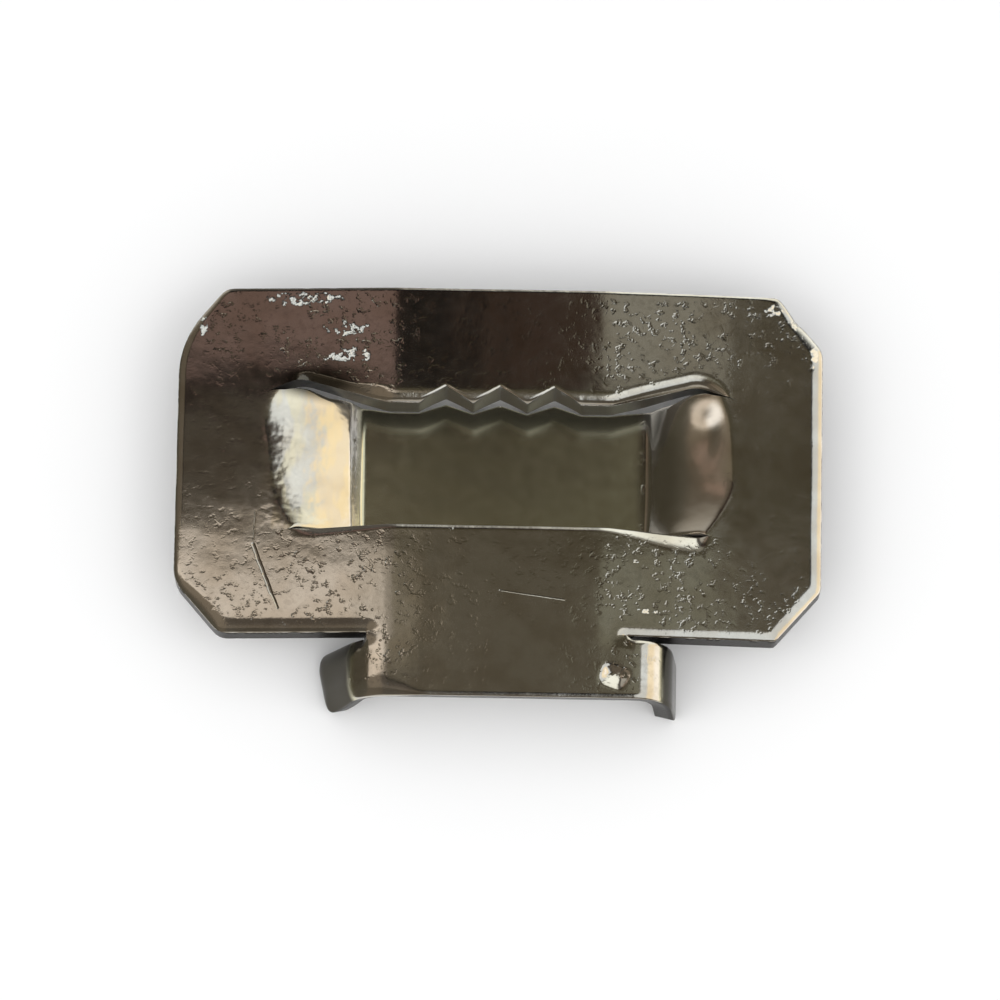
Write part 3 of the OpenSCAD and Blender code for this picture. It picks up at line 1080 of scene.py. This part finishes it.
# Lamps: a soft light overhead for the floor and dim cards that the metal mirrors; sizes in millimetres
CARD_Z, LOWER_CARD_Z = 65.0, 64.0
CARDS = (
    ("olive_low", (-9.2, 34), (-4, 20.5), CARD_Z, (0.115, 0.100, 0.070)),
    ("olive", (-10, 34), (20.5, 29.8), CARD_Z, (0.074, 0.063, 0.036)),
    ("olive_right", (24, 34), (29.8, 46), CARD_Z, (0.085, 0.072, 0.045)),
    ("olive_left", (-34, -10), (20.5, 31.0), CARD_Z, (0.066, 0.055, 0.038)),
    ("olive_front", (-12, -3), (-30, -4), CARD_Z, (0.055, 0.046, 0.032)),
    ("window_left", (-62, -17.5), (9.0, 20.5), CARD_Z, (0.92, 0.815, 0.70)),
    ("window_side", (-17.5, -14.5), (9.0, 20.5), CARD_Z, (0.72, 0.64, 0.54)),
    ("window_edge", (-14.5, -9.2), (9.0, 20.5), CARD_Z, (0.40, 0.35, 0.285)),
    ("window_end", (-8.4, -5.8), (9.0, 20.5), LOWER_CARD_Z, (0.18, 0.155, 0.115)),
    ("brown_front", (-62, -12), (-30, 9.0), CARD_Z, (0.105, 0.088, 0.070)),
    ("pale_right", (9, 24), (4, 20.5), LOWER_CARD_Z, (0.12, 0.13, 0.105)),
    ("pale_top_right", (9, 24), (31.5, 46), CARD_Z, (0.285, 0.27, 0.22)),
    ("brown_top_left", (-34, -11), (35.5, 46), CARD_Z, (0.215, 0.142, 0.12)),
    ("brown_low_left", (-20.5, -11), (32.5, 35.5), CARD_Z, (0.215, 0.142, 0.12)),
    ("maroon_top", (-2, 9), (31.5, 46), CARD_Z, (0.038, 0.021, 0.013)),
)


def area(name, centre, size, radiance, colour, to_metal=True):
    """Flat soft light facing down, of an even radiance, for the metal or for the floor."""
    d = bpy.data.lights.new(name, "AREA")
    d.shape = "RECTANGLE"
    d.size, d.size_y = size[0] * MM, size[1] * MM
    d.energy = radiance * math.pi * d.size * d.size_y
    d.color = colour
    o = bpy.data.objects.new(name, d)
    o.location = Vector(centre) * MM
    o.visible_camera = False
    o.visible_glossy = to_metal
    o.visible_diffuse = not to_metal
    bpy.context.scene.collection.objects.link(o)


def lamps():
    area("overhead", (0, -280, 900), (2600, 2600), 0.12, (1, 1, 1), to_metal=False)
    for name, (x0, x1), (y0, y1), z, colour in CARDS:
        area(name, ((x0 + x1) / 2, (y0 + y1) / 2, z), (x1 - x0, y1 - y0), 1.0, colour)


world()
lamps()


# Camera: angles, distance, width of the frame and where the target sits in a frame of 1000 pixels
TILT = math.radians(22.0)
ROLL = math.radians(1.0)
REACH = 0.9
FRAME_W = 0.068
SENSOR = 36.0
TARGET = Vector((0.0, 0.00066, 0.0046))
TARGET_PX = (499.0, 482.0)
FRAME_PX = 1000.0


def camera():
    d = bpy.data.cameras.new("camera")
    d.sensor_width = SENSOR
    d.lens = SENSOR * REACH / FRAME_W
    d.clip_start, d.clip_end = 0.05, 20.0
    d.shift_x = 0.5 - TARGET_PX[0] / FRAME_PX
    d.shift_y = TARGET_PX[1] / FRAME_PX - 0.5
    o = bpy.data.objects.new("camera", d)
    back = Vector((0.0, -math.sin(TILT), math.cos(TILT)))
    up = Vector((0.0, math.cos(TILT), math.sin(TILT)))
    right = Vector((1.0, 0.0, 0.0))
    c, s = math.cos(ROLL), math.sin(ROLL)
    right, up = right * c + up * s, up * c - right * s
    at = TARGET + back * REACH
    o.matrix_world = Matrix((
        (right.x, up.x, back.x, at.x),
        (right.y, up.y, back.y, at.y),
        (right.z, up.z, back.z, at.z),
        (0, 0, 0, 1),
    ))
    bpy.context.scene.collection.objects.link(o)
    bpy.context.scene.camera = o


camera()
bpy.context.scene.view_settings.view_transform = "Standard"
